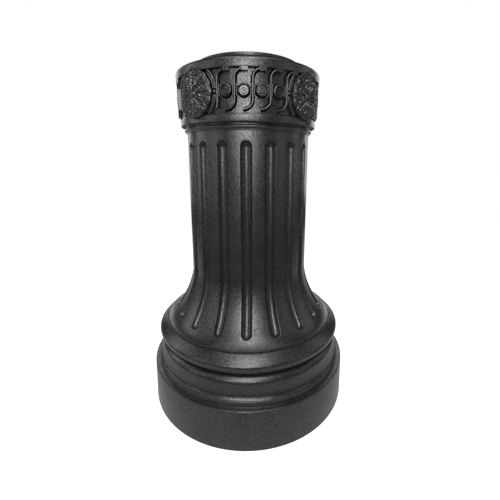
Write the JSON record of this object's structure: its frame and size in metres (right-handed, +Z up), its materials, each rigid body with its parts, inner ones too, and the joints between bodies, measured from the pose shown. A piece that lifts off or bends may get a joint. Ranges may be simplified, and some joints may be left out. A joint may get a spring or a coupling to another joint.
{
  "type": "street clock post base cover",
  "caption": "Black fluted base cover for a street clock post: split cast shells with plinth, torus, flared shaft, rosette frieze and collar, screwed together along their seams.",
  "frame": {"origin": "centre of the foot, on the ground", "axes": "+Z up along the post, -Y out of the middle of the front half, the seams in the XZ plane"},
  "size_m": [0.457, 0.457, 0.698],
  "materials": {
    "coated_casting": "satin black powder coat with a fine orange-peel grain on a cast surface",
    "black_steel": "black oxide steel, slightly oily",
    "zinc_steel": "bright zinc plated steel"
  },
  "bodies": {
    "rear_half": {"rear_half_shell": "coated_casting"},
    "front_half": {"front_half_shell": "coated_casting", "seam_screw_left_1": "black_steel", "washer_left_1": "zinc_steel", "hex_nut_left_1": "zinc_steel", "seam_screw_left_2": "black_steel", "washer_left_2": "zinc_steel", "hex_nut_left_2": "zinc_steel", "seam_screw_left_3": "black_steel", "washer_left_3": "zinc_steel", "hex_nut_left_3": "zinc_steel", "seam_screw_left_4": "black_steel", "washer_left_4": "zinc_steel", "hex_nut_left_4": "zinc_steel", "seam_screw_left_5": "black_steel", "washer_left_5": "zinc_steel", "hex_nut_left_5": "zinc_steel", "seam_screw_right_1": "black_steel", "washer_right_1": "zinc_steel", "hex_nut_right_1": "zinc_steel", "seam_screw_right_2": "black_steel", "washer_right_2": "zinc_steel", "hex_nut_right_2": "zinc_steel", "seam_screw_right_3": "black_steel", "washer_right_3": "zinc_steel", "hex_nut_right_3": "zinc_steel", "seam_screw_right_4": "black_steel", "washer_right_4": "zinc_steel", "hex_nut_right_4": "zinc_steel", "seam_screw_right_5": "black_steel", "washer_right_5": "zinc_steel", "hex_nut_right_5": "zinc_steel"}
  },
  "joints": [
    {"name": "front_half_draw", "type": "slide", "parent": "rear_half", "child": "front_half", "axis": [0, -1, 0], "range_m": [0, 0.3]}
  ]
}
